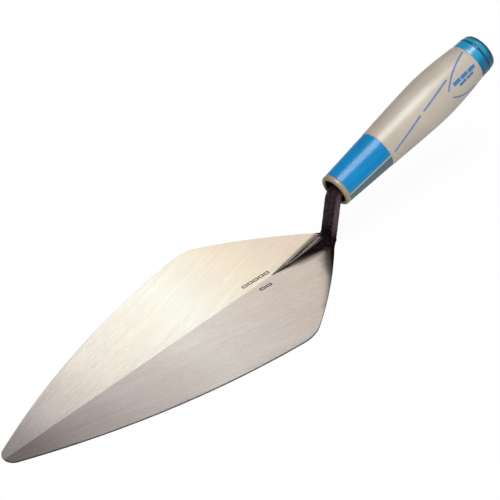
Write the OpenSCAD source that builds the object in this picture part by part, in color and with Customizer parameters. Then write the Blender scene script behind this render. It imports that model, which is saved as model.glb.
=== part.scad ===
// Brick trowel: forged steel blade with a cranked shank, bonded into a
// two-material handle that is closed by a moulded strike cap.
//
// Frame: +X runs from the heel to the toe of the blade, +Z is up and the
// blade's flat underside lies in z = 0. The origin is the centre of the
// heel, where the shank rises. All lengths are in millimetres.
// Name endings: _l length, _r radius, _w width, _h height, _t thickness.

/* [Blade] */
// Length of the blade from heel to toe
blade_l = 279.4; // [254:0.1:305]
// Distance from the heel to the shoulder corner, before rounding
shoulder_x = 69.6; // [60:0.1:80]
// Half width at the shoulder corner, before rounding
shoulder_y = 60.9; // [55:0.1:66]
// Half width of the heel where the two back edges meet the shank
heel_half = 8.6; // [7.5:0.1:10]
// Reach of the heel corners back along the shank's sides
heel_back = 4.3; // [3.5:0.1:4.5]
// Outward bow of each back edge
back_bow = 2.5; // [0.5:0.1:4]
// Outward bow of each long edge
edge_bow = 9.2; // [5:0.1:12]
// Radius of the rounded shoulders
shoulder_r = 30; // [15:0.1:35]
// Radius of the rounded toe
toe_r = 7.9; // [6:0.05:12]
// Thickness on the centre line at the heel
heel_t = 2.6; // [2.2:0.05:3.2]
// Thickness on the centre line at the toe
toe_t = 1.3; // [1:0.05:1.6]
// Thickness of the ground edge at the shoulders
edge_t = 1.15; // [0.8:0.05:1.5]

/* [Tongue] */
// Distance from the heel to the tip of the forged tongue
tongue_l = 47.9; // [40:0.1:60]
// Half width of the tongue at the heel
tongue_half = 8.4; // [6:0.1:9]
// Height at the heel where the tongue's two flanks would meet
tongue_h = 8.4; // [7.8:0.1:10]
// Height at the heel of the flat strip along the tongue's top
tongue_top = 7.4; // [6:0.1:7.6]

/* [Shank] */
// Width of the shank across the blade
shank_w = 10.6; // [9:0.1:12]
// Depth of the shank along the blade
shank_depth = 7.4; // [6.5:0.1:8.5]
// Chamfer on the shank's long edges
shank_chamfer = 2.1; // [1:0.1:2.5]
// Setback of the shank's centre line behind the heel, at the underside
shank_back = 2.7; // [2:0.1:3.2]
// Height where the shank's centre line meets the handle's axis
crank_h = 35.65; // [34:0.05:45]
// Backward lean of the shank from vertical, in degrees
shank_lean = 11.1; // [6:0.1:15]
// Bend radius of the crank, on its centre line
bend_r = 9; // [8:0.1:10]
// Radius of the round tang at the crank
tang_r1 = 4.25; // [4:0.05:4.4]
// Radius of the round tang at its end
tang_r2 = 3.6; // [3:0.05:4]
// Distance from the handle's mouth to the end of the tang
tang_l = 98; // [80:1:99]

/* [Handle] */
// Upward tilt of the handle's axis, in degrees
handle_tilt = 14.5; // [10:0.1:20]
// Distance from the crank's corner back to the mouth of the handle
mouth_gap = 0.6; // [0:0.05:1]
// Length of the front lip ring
lip_l = 3.5; // [2.8:0.1:4]
// Radius of the mouth opening
mouth_r = 9.0; // [8.8:0.05:9.15]
// Distance from the mouth to the back of the hard front band
band_l = 41.8; // [38:0.1:46]
// Radius of the front band behind the lip
nose_r = 11.6; // [11.5:0.05:12.2]
// Radius of the front band at its back end
waist_r = 13.8; // [13.5:0.05:14.3]
// Distance from the mouth to the fattest part of the grip
belly_l = 92; // [85:0.5:100]
// Radius of the grip at its fattest part
belly_r = 16.8; // [16:0.05:18]
// Distance from the mouth to the back end of the grip
grip_l = 130.9; // [128:0.1:134]
// Radius of the grip at its back end
neck_r = 14.05; // [13.8:0.05:15]
// Wall of the soft grip over the core
grip_wall = 2.6; // [2.2:0.05:3]
// Height the soft grip stands above the front band
grip_step = 0.15; // [0:0.05:0.4]
// Width of the inlaid lines and of the ribs across the band
line_w = 1.25; // [0.8:0.05:1.4]
// Radius of the tang socket
socket_r = 6.4; // [6:0.05:6.8]
// Radius of the bore behind the cap
cap_bore_r = 9.0; // [8.5:0.05:9.5]

/* [Cap] */
// Length of the strike cap outside the grip
cap_l = 14.6; // [14:0.1:20]
// Rounding of the cap's back edge
cap_round = 3.0; // [2:0.1:4]
// Depth of the two rings turned in the cap
ring_depth = 0.45; // [0.2:0.05:0.6]
// Length of the cap's plug
plug_l = 16; // [12:0.5:18]

/* [Hidden] */
fn_round = 96;

// ---- vectors and planes ---------------------------------------------

function unit(v) = v / norm(v);
function angle_of(v) = atan2(v[1], v[0]);
function heading(angle) = [cos(angle), sin(angle)];
// Plane vector turned a quarter turn anticlockwise
function quarter_turn(v) = [-v[1], v[0]];
// Plane point carried across the blade's centre line
function mirrored(p) = [p[0], -p[1]];

// Matrix that puts the local origin at origin, local z along normal and
// local x along the part of along that is square to normal
function on_plane(origin, along, normal) =
    let (z = unit(normal), x = unit(along - (along * z) * z), y = cross(z, x))
    [[x[0], y[0], z[0], origin[0]],
     [x[1], y[1], z[1], origin[1]],
     [x[2], y[2], z[2], origin[2]],
     [0, 0, 0, 1]];

// Large slab under the plane through origin with the given normal
module below(origin, along, normal) {
    size = 800;
    depth = 60;
    multmatrix(on_plane(origin, along, normal))
        translate([-size / 2, -size / 2, -depth]) cube([size, size, depth]);
}

// ---- blade outline --------------------------------------------------

// Points of a shallow arc that bows to the left of start-to-end by rise
function bow(start, end, rise, steps) =
    let (chord = end - start, left = quarter_turn(chord) / norm(chord))
    [for (i = [0:steps]) let (t = i / steps)
        start + chord * t + left * (4 * rise * t * (1 - t))];

// Point at t on a cubic curve with two control points
function cubic(start, control_1, control_2, end, t) =
    pow(1 - t, 3) * start + 3 * pow(1 - t, 2) * t * control_1
    + 3 * (1 - t) * t * t * control_2 + t * t * t * end;

shoulder = [shoulder_x, shoulder_y];
toe_centre = [blade_l - toe_r, 0];
edge_run = norm(toe_centre - shoulder);
// Direction of the long edge where it runs into the toe circle
edge_end = angle_of(toe_centre - shoulder) - asin(toe_r / edge_run)
           - (4 * edge_bow / edge_run) * 180 / PI;
toe_start = toe_centre + toe_r * quarter_turn(heading(edge_end));

back_steps = 28;
back_edge = bow([0, heel_half], shoulder, back_bow, back_steps);
long_edge = bow(shoulder, toe_start, edge_bow, 56);

// Shoulder rounding: a smooth cubic between the two edges
back_dir = heading(angle_of(back_edge[back_steps] - back_edge[back_steps - 1]));
long_dir = heading(angle_of(long_edge[1] - long_edge[0]));
turn = abs(angle_of(long_dir) - angle_of(back_dir));
cut_back = shoulder_r * tan(turn / 2);
round_start = shoulder - cut_back * back_dir;
round_end = shoulder + cut_back * long_dir;
reach = 4 / 3 * tan(turn / 4) * shoulder_r;
rounding = [for (i = [0:14])
    cubic(round_start, round_start + reach * back_dir,
          round_end - reach * long_dir, round_end, i / 14)];

// Edge points too near a join are left out
function clear_of_rounding(p) = norm(shoulder - p) > cut_back + 0.8;
function clear_of_toe(p) = norm(toe_start - p) > 0.5;

half_outline = concat(
    [for (p = back_edge) if (clear_of_rounding(p)) p],
    rounding,
    [for (p = long_edge) if (clear_of_rounding(p) && clear_of_toe(p)) p],
    [for (i = [0:10]) toe_centre + toe_r * heading((edge_end + 90) * (1 - i / 10))]);
outline = concat(half_outline,
    [for (i = [len(half_outline) - 2:-1:0]) mirrored(half_outline[i])]);
// Corner of the plate beside the back of the shank
heel_corner = [-heel_back, shank_w / 2 - 0.05];

// ---- crank and handle frame, as [x, z] ------------------------------

// Corner where the shank meets the handle's axis, and the mouth
corner = [-shank_back - crank_h * tan(shank_lean), crank_h];
axis_dir = [-cos(handle_tilt), sin(handle_tilt)];
mouth = corner + mouth_gap * axis_dir;
bend = 90 - shank_lean - handle_tilt;
tangent_l = bend_r * tan(bend / 2);
shank_dir = [-sin(shank_lean), cos(shank_lean)];
bend_start = corner - tangent_l * shank_dir;
bend_centre = bend_start + bend_r * quarter_turn(shank_dir);

// Distances from the mouth: end of the chamfered bar, floor of the open
// mouth, end of the tang socket and back end of the core
stub_l = 9;
mouth_floor = stub_l + 1;
socket_end = tang_l + 3;
core_end = grip_l - 0.6;

// Places its children on the handle: local z runs back along the axis
// from the mouth, local x points to the top of the handle
module on_handle() {
    translate([mouth[0], 0, mouth[1]]) rotate([0, handle_tilt - 90, 0])
        children();
}

// Children, and again half a turn round the handle's axis
module both_sides() {
    children();
    rotate([0, 0, 180]) children();
}

// Round bar or cone between two distances from the mouth
module rod(from, to, start_r, end_r) {
    translate([0, 0, from])
        cylinder(h = to - from, r1 = start_r,
            r2 = is_undef(end_r) ? start_r : end_r, $fn = fn_round);
}

// ---- handle profile -------------------------------------------------

// Exponents of the swell before and behind the belly
swell_power = 1.23;
taper_power = 1.95;

// Outside radius of the handle at a distance from the mouth
function handle_r(dist) =
    dist <= band_l ? nose_r + (waist_r - nose_r) * (dist - lip_l) / (band_l - lip_l)
    : dist <= belly_l ? belly_r - (belly_r - waist_r - grip_step)
        * pow((belly_l - dist) / (belly_l - band_l), swell_power)
    : belly_r - (belly_r - neck_r)
        * pow((dist - belly_l) / (grip_l - belly_l), taper_power);

// Profile points [radius, distance] along the handle, moved out by offset
function run(from, to, steps, offset = 0) =
    [for (i = [0:steps]) let (dist = from + (to - from) * i / steps)
        [handle_r(dist) + offset, dist]];

// Core surface under the grip; it starts just past the step in radius
under_grip = run(band_l + 0.001, core_end, 22, -grip_wall);
// Seat for the lip on the core's nose
seat_r = (mouth_r + nose_r) / 2 + 0.1;
seat_l = 1.2;

// ---- inlaid lines and ribs ------------------------------------------

// Three points each: [distance from the mouth, angle from the top]
lines = [
    [[45.2, 75], [59.7, 61.2], [74.2, 49.4]],
    [[77.7, 47.2], [91.1, 39.6], [104.6, 31.4]],
    // the curve towards the cap is made of two plates
    [[128.5, 6.4], [120.8, 16], [113, 26.7]],
    [[113.6, 25.8], [106.7, 38.2], [100.2, 55.6]],
    [[100.5, 72.6], [110.1, 92.6], [122, 103]]
];
line_depth = 4.6;
// Rib across the front band, one on each side
rib = [[2, 84.2], [21, 80.2], [band_l + 1, 76.2]];
rib_depth = 1.2;

// Point on the handle's surface from [distance, angle]
function on_skin(place) =
    let (r = handle_r(place[0]))
    [r * cos(place[1]), r * sin(place[1]), place[0]];

// Thin plate from the path's first point to its last, reaching deep below
// that chord and high above it. The middle point and the radial direction
// there set its slant; extra lengthens both ends.
module plate(path, deep, high = 3, extra = 0) {
    radial_share = 0.35;
    start = on_skin(path[0]);
    middle = on_skin(path[1]);
    end = on_skin(path[2]);
    radial = [middle[0], middle[1], 0];
    along = end - start;
    normal = cross(along, middle - (start + end) / 2 + radial_share * radial);
    faces_in = cross(normal, along) * radial < 0;
    multmatrix(on_plane(start, along, normal))
        translate([-extra, faces_in ? -high : -deep, -line_w / 2])
            cube([norm(along) + 2 * extra, deep + high, line_w]);
}

// The part of its child that lies in the rib plates, down to a cone
// rib_depth below the band
module in_ribs() {
    overrun = 2;
    // change of the band's radius over the overrun
    flare = 0.11;
    both_sides() intersection() {
        plate(rib, 12, 4, 4);
        difference() {
            children();
            rod(lip_l - overrun, band_l + overrun,
                nose_r - rib_depth - flare, waist_r - rib_depth + flare);
        }
    }
}

// ---- parts of the forging -------------------------------------------

// Chamfered bar section, width across in y and depth in x
module bar_section(width, depth, chamfer) {
    x = depth / 2;
    y = width / 2;
    polygon([[-x + chamfer, -y], [x - chamfer, -y], [x, -y + chamfer],
             [x, y - chamfer], [x - chamfer, y], [-x + chamfer, y],
             [-x, y - chamfer], [-x, -y + chamfer]]);
}

// Flat blade, ground thinner from the centre line to both edges
module blade_plate() {
    slope_x = (toe_t - heel_t) / blade_l;
    slope_y = (heel_t + slope_x * shoulder_x - edge_t) / shoulder_y;
    intersection() {
        linear_extrude(height = heel_t + 1)
            polygon(concat([heel_corner], outline, [mirrored(heel_corner)]));
        below([0, 0, heel_t], [1, 0, slope_x], [-slope_x, slope_y, 1]);
        below([0, 0, heel_t], [1, 0, slope_x], [-slope_x, -slope_y, 1]);
    }
}

// Forged tongue: a ridge with a narrow flat top that runs out on the
// centre line; its tip and feet are sunk a little into the blade
module tongue() {
    tip = [tongue_l, 0, heel_t + (toe_t - heel_t) * tongue_l / blade_l - 0.1];
    top = [0, 0, tongue_h];
    foot = [0, tongue_half, heel_t - 0.2];
    flank = cross(tip - top, foot - top);
    // the flat top would reach the tip's height this far before the tip
    flat_short = 4;
    fall = (tongue_top - tip[2]) / (tongue_l - flat_short);
    intersection() {
        linear_extrude(height = tongue_h + 1) polygon(outline);
        below(top, tip - top, flank);
        below(top, tip - top, [flank[0], -flank[1], flank[2]]);
        below([0, 0, tongue_top], [1, 0, -fall], [fall, 0, 1]);
    }
}

// Shank, crank and tang
module shank() {
    rise = norm(bend_start - [-shank_back, 0]);
    sunk = 4;
    slimmer = 0.08;
    stub_start = tangent_l - mouth_gap - 0.5;
    tang_overlap = 2;
    // leaning bar from the blade up to the bend, cut off at the underside
    intersection() {
        translate([-shank_back, 0, 0]) rotate([0, -shank_lean, 0])
            translate([0, 0, -sunk]) linear_extrude(height = rise + sunk)
                bar_section(shank_w, shank_depth, shank_chamfer);
        translate([-60, -30, 0]) cube([120, 60, 80]);
    }
    // bend
    translate([bend_centre[0], 0, bend_centre[1]]) rotate([90, 0, 0])
        rotate([0, 0, shank_lean]) rotate_extrude(angle = bend, $fn = fn_round)
            translate([bend_r, 0]) bar_section(shank_w, shank_depth, shank_chamfer);
    on_handle() {
        // straight end of the bar, a hair slimmer so that it starts inside
        // the bend, then the round tang
        translate([0, 0, stub_start]) linear_extrude(height = stub_l - stub_start)
            bar_section(shank_w - slimmer, shank_depth - slimmer, shank_chamfer);
        rod(stub_l - tang_overlap, tang_l,
            tang_r1 + tang_overlap * (tang_r1 - tang_r2) / (tang_l - stub_l), tang_r2);
    }
}

// ---- nodes ----------------------------------------------------------
// Turned profiles are lists of [radius, distance along the axis].

// One-piece steel forging: blade, tongue, shank and tang
module blade_forging() {
    color([0.78, 0.76, 0.73]) union() {
        blade_plate();
        tongue();
        shank();
    }
}

// Hard core: shows as the front band and as the thin inlaid lines
module handle_core() {
    line_start = 42.5;
    line_end = grip_l - 1.2;
    line_sink = 0.12;
    color([0.02, 0.45, 0.78]) on_handle() {
        difference() {
            rotate_extrude($fn = fn_round) polygon(concat(
                [[0, seat_l], [seat_r, seat_l], [seat_r, lip_l]],
                run(lip_l, band_l, 4),
                under_grip,
                [[0, core_end]]));
            // open mouth, tang socket and the bore for the cap's plug
            rod(-1, mouth_floor, mouth_r);
            rod(stub_l, socket_end, socket_r);
            rod(grip_l - plug_l - 1, grip_l + 4, cap_bore_r);
            // grooves for the ribs across the band
            in_ribs() rod(lip_l - 1, band_l, 25);
        }
        // lines that fill the slots in the grip, just short of its skin
        both_sides() for (line = lines) intersection() {
            plate(line, line_depth);
            rotate_extrude($fn = fn_round) polygon(concat(
                [[0, line_start - 0.5]],
                run(line_start, line_end, 22, -line_sink),
                [[0, line_end]]));
        }
    }
}

// Soft overmoulded grip: slotted body, front lip ring and two ribs between
module soft_grip() {
    inner_r = cap_bore_r + 1.2;
    lip_round = 1.6;
    color([0.74, 0.70, 0.63]) on_handle() {
        difference() {
            rotate_extrude($fn = fn_round) polygon(concat(
                [[waist_r + grip_step - 0.3, band_l]],
                run(band_l + 0.5, grip_l - 0.5, 24),
                [[neck_r - 0.4, grip_l], [inner_r, grip_l], [inner_r, core_end]],
                [for (i = [len(under_grip) - 1:-1:0]) under_grip[i]]));
            both_sides() for (line = lines) plate(line, line_depth);
        }
        // lip ring, rounded at the front
        rotate_extrude($fn = fn_round) polygon(concat(
            [[mouth_r, seat_l], [mouth_r, 0.7], [mouth_r + 0.25, 0.2], [mouth_r + 0.8, 0]],
            [for (i = [0:5])
                [nose_r - lip_round, lip_round] + lip_round * heading(i * 18 - 90)],
            [[nose_r, lip_l], [seat_r, lip_l], [seat_r, seat_l]]));
        in_ribs() rod(lip_l - 0.6, band_l + 0.2, nose_r - 0.03, waist_r + 0.01);
    }
}

// Strike cap: moulded cap with two rings and a hollow plug
module end_cap() {
    crown = 0.8;
    back = cap_l - crown - cap_round;
    hollow_r = cap_bore_r - 2.6;
    hollow_end = cap_l - 7;
    plug_r = cap_bore_r - 0.05;
    front_r = neck_r - 0.25;
    rear_r = neck_r - 0.65;
    flat_r = neck_r - 0.95 - cap_round;
    color([0.0, 0.5, 0.72]) on_handle() translate([0, 0, grip_l])
        rotate_extrude($fn = fn_round) polygon(concat(
            // plug
            [[hollow_r, -plug_l], [plug_r - 0.4, -plug_l],
             [plug_r, -plug_l + 0.8], [plug_r, 0]],
            // front of the cap and first ring
            [[neck_r - 0.35, 0], [neck_r - 0.1, 0.3], [front_r, 6.2],
             [front_r - ring_depth, 6.5], [front_r - ring_depth, 7.2],
             [neck_r - 0.3, 7.5]],
            // second ring
            [[rear_r, back - 1.3], [rear_r - ring_depth, back - 1.0],
             [rear_r - ring_depth, back - 0.6], [neck_r - 0.75, back - 0.3]],
            // rounded back edge, then the crowned end
            [for (i = [0:6]) [flat_r, back] + cap_round * heading(i * 15)],
            [for (i = [1:4]) let (t = 1 - i / 4) [flat_r * t, cap_l - crown * t * t]],
            // hollow
            [[0, hollow_end], [hollow_r, hollow_end]]));
}

// Black bonding compound around the tang in its socket, drawn up the
// wall of the mouth
module tang_bond() {
    color([0.05, 0.05, 0.05]) on_handle()
        rotate_extrude($fn = fn_round) polygon([
            [tang_r1, stub_l], [mouth_r - 0.8, stub_l], [mouth_r - 0.7, 2],
            [mouth_r - 0.1, 1], [mouth_r, 1], [mouth_r, mouth_floor],
            [socket_r, mouth_floor], [socket_r, socket_end], [0, socket_end],
            [0, tang_l], [tang_r2, tang_l]]);
}

blade_forging();
handle_core();
soft_grip();
end_cap();
tang_bond();
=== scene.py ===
"""A trowel: a forged steel blade with a cranked shank, and a two-part plastic handle.

The blade lies flat on z = 0, its heel near the origin and its toe along +X, symmetric in Y.
The shank rises from the heel, leans towards -X and bends into the handle, whose axis runs
towards -X and slightly up. Shapes are worked out in millimetres; the scene is in metres.
"""
import math

import bmesh
import bpy
import numpy as np
from mathutils import Matrix, Vector


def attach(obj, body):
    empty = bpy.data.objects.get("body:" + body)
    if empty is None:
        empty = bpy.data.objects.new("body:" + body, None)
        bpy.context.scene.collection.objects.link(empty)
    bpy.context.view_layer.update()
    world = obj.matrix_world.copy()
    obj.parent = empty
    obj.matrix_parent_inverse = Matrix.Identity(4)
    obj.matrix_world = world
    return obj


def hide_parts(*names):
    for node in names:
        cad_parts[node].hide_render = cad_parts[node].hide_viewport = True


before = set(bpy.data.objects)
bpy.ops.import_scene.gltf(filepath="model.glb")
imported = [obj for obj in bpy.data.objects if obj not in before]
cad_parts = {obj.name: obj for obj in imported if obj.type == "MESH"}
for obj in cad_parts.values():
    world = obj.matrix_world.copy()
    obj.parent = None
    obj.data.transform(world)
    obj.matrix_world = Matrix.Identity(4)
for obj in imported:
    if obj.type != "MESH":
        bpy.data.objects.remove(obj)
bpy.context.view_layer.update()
MM = 0.001

# ---------------------------------------------------------------- sizes, mm

# blade
BLADE_LENGTH = 279.4
SHOULDER_X, SHOULDER_Y = 69.6, 60.9         # widest corner, before rounding
HEEL_HALF = 8.6                             # half width of the outline at x = 0
BACK_BOW, SIDE_BOW = 2.5, 9.2               # sag of the back edge and of the long edge
SHOULDER_R, TOE_R = 30.0, 7.9
HEEL_THICK, TOE_THICK, EDGE_THICK = 2.6, 1.3, 1.15    # centre line ends, shoulder edge
SLOPE_X = (TOE_THICK - HEEL_THICK) / BLADE_LENGTH
SLOPE_Y = (HEEL_THICK + SLOPE_X * SHOULDER_X - EDGE_THICK) / SHOULDER_Y
BEVEL = 0.18
# raised tongue on the blade, from the foot of the shank to its tip
FOOT_X, TONGUE_END = 1.4, 48.2

# shank
SHANK_W, SHANK_D, SHANK_C = 10.6, 7.4, 2.1  # width, depth, corner radius
SHANK_BACK = 2.7                            # the axis meets z = 0 this far behind x = 0
BEND_HEIGHT, BEND_R = 35.65, 9.0
LEAN, TILT = math.radians(11.1), math.radians(14.5)   # shank off vertical, handle off level
SHANK_THIN = 1.5                            # taken off the front by the end of the bend
STUB, TANG = 9.0, 98.0                      # shoulder and end of the tang, from the mouth
TANG_R, TANG_END_R = 4.25, 3.6

# handle frame: the mouth is the handle's blade end
AXIS = np.array([-math.cos(TILT), 0, math.sin(TILT)])     # from the mouth to the cap
TOP_SIDE = np.array([math.sin(TILT), 0, math.cos(TILT)])
ACROSS = np.array([0.0, 1, 0])
BEND = np.array([-SHANK_BACK - BEND_HEIGHT * math.tan(LEAN), 0, BEND_HEIGHT])
MOUTH = BEND + 0.6 * AXIS

# handle: distances from the mouth, and radii
LIP, BAND, BELLY, GRIP = 3.5, 41.8, 92.0, 130.9
NOSE_R, WAIST_R, BELLY_R, NECK_R = 11.6, 13.8, 16.8, 14.05
WALL, STEP, LINE_W = 2.6, 0.15, 1.25        # grip wall, step after the band, line width
MOUTH_R, SOCKET_R, BORE_R = 9.0, 6.4, 9.0
CORE_END = GRIP - 0.6
SEAT_R, SEAT = (MOUTH_R + NOSE_R) / 2 + 0.1, 1.2      # recess for the lip ring
CAP, CAP_CORNER = 14.6, 3.0                 # length past the grip, radius of its rounding
CAP_BACK = CAP - 0.8 - CAP_CORNER           # where that rounding starts

# ---------------------------------------------------------------- mesh helpers


def soften(obj, sharp):
    obj.data.polygons.foreach_set("use_smooth", [True] * len(obj.data.polygons))
    obj.data.set_sharp_from_angle(angle=math.radians(sharp))
    obj.data.update()


def link(name, points, polygons, merge=0.0, sharp=None):
    """A mesh object from points in mm; smooth with creases above `sharp` degrees if given."""
    mesh = bpy.data.meshes.new(name)
    mesh.from_pydata([tuple(np.array(p) * MM) for p in points], [],
                     [list(p) for p in polygons])
    bm = bmesh.new()
    bm.from_mesh(mesh)
    if merge:
        bmesh.ops.remove_doubles(bm, verts=bm.verts, dist=merge * MM)
    tidy(bm, mesh, 1e-9)
    obj = bpy.data.objects.new(name, mesh)
    bpy.context.scene.collection.objects.link(obj)
    if sharp is not None:
        soften(obj, sharp)
    return obj


def tidy(bm, mesh, dist):
    """Drop collapsed edges and loose points, turn faces outwards and write to the mesh."""
    bmesh.ops.dissolve_degenerate(bm, edges=bm.edges, dist=dist)
    loose = [v for v in bm.verts if not v.link_faces]
    bmesh.ops.delete(bm, geom=loose, context="VERTS")
    bmesh.ops.recalc_face_normals(bm, faces=bm.faces)
    bm.to_mesh(mesh)
    bm.free()


def boolean(obj, cutter, operation):
    """Combine obj with cutter, which is used up."""
    modifier = obj.modifiers.new("b", "BOOLEAN")
    modifier.operation = operation
    modifier.object = cutter
    modifier.solver = "EXACT"
    graph = bpy.context.evaluated_depsgraph_get()
    graph.update()
    result = bpy.data.meshes.new_from_object(obj.evaluated_get(graph))
    old = obj.data
    obj.modifiers.clear()
    obj.data = result
    bpy.data.meshes.remove(old)
    used = cutter.data
    bpy.data.objects.remove(cutter)
    bpy.data.meshes.remove(used)


def clean(obj):
    """Weld and smooth a piece after its booleans."""
    bm = bmesh.new()
    bm.from_mesh(obj.data)
    bmesh.ops.remove_doubles(bm, verts=bm.verts, dist=2e-6)
    tidy(bm, obj.data, 1e-7)
    soften(obj, 30)


def append(shell, points, polygons):
    """Add points and polygons to a shell, a pair of lists."""
    base = len(shell[0])
    shell[0].extend(points)
    shell[1].extend(tuple(base + i for i in p) for p in polygons)


def grid_quads(rows, cols):
    return [(i * cols + j, i * cols + j + 1, (i + 1) * cols + j + 1, (i + 1) * cols + j)
            for i in range(rows - 1) for j in range(cols - 1)]


def unit(vector):
    return vector / np.hypot(*vector)


def bezier(start, pull_start, pull_end, end, share):
    rest = 1 - share
    return (rest ** 3 * start + 3 * rest ** 2 * share * pull_start
            + 3 * rest * share * share * pull_end + share ** 3 * end)


# ---------------------------------------------------------------- outline of the blade


def plate_z(x, y):
    """Height of the blade's top face."""
    return HEEL_THICK + SLOPE_X * x - SLOPE_Y * abs(y)


def bow(start, end, sag, count):
    """Parabolic arc between two points."""
    start, end = np.array(start, float), np.array(end, float)
    run = end - start
    side = unit(np.array([-run[1], run[0]]))
    share = np.linspace(0, 1, count)[:, None]
    return start + run * share + side * (4 * sag * share * (1 - share))


def trim(line, length):
    """Cut a length off the start: the rest, its first point and its direction there."""
    total = np.concatenate([[0], np.cumsum(np.hypot(*np.diff(line, axis=0).T))])
    i = np.searchsorted(total, length)
    share = (length - total[i - 1]) / (total[i] - total[i - 1])
    point = line[i - 1] + (line[i] - line[i - 1]) * share
    return np.vstack([point, line[i:]]), point, unit(line[i] - line[i - 1])


toe_centre = np.array([BLADE_LENGTH - TOE_R, 0.0])
shoulder = np.array([SHOULDER_X, SHOULDER_Y])
to_toe = toe_centre - shoulder
toe_run = np.hypot(*to_toe)
toe_angle = (math.atan2(*to_toe[::-1]) - math.asin(TOE_R / toe_run)
             - 4 * SIDE_BOW / toe_run)      # heading of the long edge where the toe starts
toe_start = toe_centre + TOE_R * np.array([-math.sin(toe_angle), math.cos(toe_angle)])
back_edge = bow((0, HEEL_HALF), shoulder, BACK_BOW, 400)
long_edge = bow(shoulder, toe_start, SIDE_BOW, 900)
back_dir = unit(back_edge[-1] - back_edge[-2])
long_dir = unit(long_edge[1] - long_edge[0])
corner_turn = abs(math.atan2(back_dir[0] * long_dir[1] - back_dir[1] * long_dir[0],
                             back_dir @ long_dir))
cut_back = SHOULDER_R * math.tan(corner_turn / 2)
long_edge, long_point, long_dir = trim(long_edge, cut_back)
back_edge, back_point, back_dir = trim(back_edge[::-1], cut_back)
pull = 4 / 3 * math.tan(corner_turn / 4) * SHOULDER_R
fillet = bezier(back_point, back_point - back_dir * pull, long_point - long_dir * pull,
                long_point, np.linspace(0, 1, 120)[:, None])
toe_turns = np.linspace(toe_angle + math.pi / 2, 0, 80)
toe_arc = np.c_[toe_centre[0] + TOE_R * np.cos(toe_turns), TOE_R * np.sin(toe_turns)]
# from the foot of the shank to the toe, y > 0
EDGE = np.vstack([back_edge[::-1], fillet[1:-1], long_edge, toe_arc[1:]])
EDGE = EDGE[np.searchsorted(EDGE[:, 0], FOOT_X):]
heel_dir = unit(EDGE[0] - EDGE[3])


def edge_y(x):
    return np.interp(x, EDGE[:, 0], EDGE[:, 1])


# ---------------------------------------------------------------- section of the shank

# steps round half a section: half front, front corner, side, back corner, half back
FRONT, CORNER, SIDE, BACK = 16, 5, 12, 8
AROUND = FRONT + CORNER + SIDE + CORNER + BACK


def half_section():
    """(front, y) from the middle of the front round to the middle of the back."""
    depth, flat = SHANK_D / 2, SHANK_W / 2 - SHANK_C
    reach = depth - SHANK_C

    def corner(front, start):
        """Quarter turn, flattened part of the way towards its chord."""
        def at(angle):
            return np.array([front + SHANK_C * math.cos(angle),
                             flat + SHANK_C * math.sin(angle)])
        first, last = at(start), at(start + math.pi / 2)
        return [tuple(0.62 * at(start + math.pi / 2 * i / CORNER)
                      + 0.38 * (first + (last - first) * i / CORNER))
                for i in range(1, CORNER + 1)]

    points = [(depth, flat * i / FRONT) for i in range(FRONT + 1)]
    points += corner(reach, 0)
    points += [(reach - 2 * reach * i / SIDE, SHANK_W / 2) for i in range(1, SIDE + 1)]
    points += corner(-reach, math.pi / 2)
    points += [(-depth, flat * (1 - i / BACK)) for i in range(1, BACK + 1)]
    return np.array(points)


BAR = half_section()


def post_point(j, z):
    """Section point j of the leaning shank, cut level at height z."""
    front, y = BAR[j]
    return np.array([-SHANK_BACK - z * math.tan(LEAN) + front / math.cos(LEAN), y, z])


def level_outline(z, grow):
    """Level cut from the front corner round to the back, moved outwards by `grow`."""
    points = np.array([post_point(j, z)[:2] for j in range(FRONT, AROUND + 1)])
    out = points - np.array([-SHANK_BACK - z * math.tan(LEAN), 0])
    points += out / np.hypot(*out.T)[:, None] * grow
    points[-1, 1] = 0
    return points


# ---------------------------------------------------------------- tongue

forging_shell = ([], [])


def add_grid(points, flip=False):
    """Add a (rows, columns, 3) grid of points as quads."""
    quads = grid_quads(*points.shape[:2])
    if flip:
        quads = [(a, d, c, b) for a, b, c, d in quads]
    append(forging_shell, points.reshape(-1, 3).tolist(), quads)


def add_both(points):
    """Add a grid and its mirror image in y."""
    add_grid(points)
    add_grid(points * np.array([1, -1, 1]), flip=True)


def tongue_half(x):
    """Half width of the tongue's foot."""
    return 8.45 * np.clip((TONGUE_END - x) / (TONGUE_END - FOOT_X), 0, 1) ** 1.03


def strip_half(x):
    """Half width of the narrow flat strip along the tongue's top."""
    return 0.16 + 1.45 * np.clip((40.0 - x) / 40.0, 0, 1) ** 0.95


def strip_rise(x):
    """Height of that strip over the blade."""
    run = 31.5 - x
    return (0.150 * 0.5 * (run + np.sqrt(run * run + 36.0))
            * np.clip((TONGUE_END - x) / 9.0, 0, 1))


TONGUE_ROWS = 44
STRIP_COLS = 5
# columns down the flank, as shares of its width
FLANK = [0, .04, .09, .17, .26, .36, .47, .58, .69, .79, .89, 1.0]

tongue = np.zeros((TONGUE_ROWS + 1, FRONT + 1, 3))
for i, run in enumerate(np.linspace(0, 1, TONGUE_ROWS + 1)):
    for j in range(FRONT + 1):
        end_x = FOOT_X + 2.6 * (1 - j / FRONT) ** 1.3
        x = TONGUE_END + (end_x - TONGUE_END) * run
        foot = float(tongue_half(x))
        strip = min(float(strip_half(x)), 0.45 * foot)
        if j < STRIP_COLS:
            share = j / STRIP_COLS
            y = strip * share
            height = 1.0 - 0.035 * share ** 4
        else:
            # steep at the top, then a hollow that runs out on the blade
            share = FLANK[j - STRIP_COLS]
            y = strip + (foot - strip) * share
            hollow = 1 - 0.10 * np.sin(math.pi * share) ** 2
            height = 0.965 * ((1 - share) ** 1.55 * hollow)
        tongue[i, j] = (x, y, plate_z(x, y) + float(strip_rise(x)) * height)
add_both(tongue)

# ---------------------------------------------------------------- plate

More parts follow.
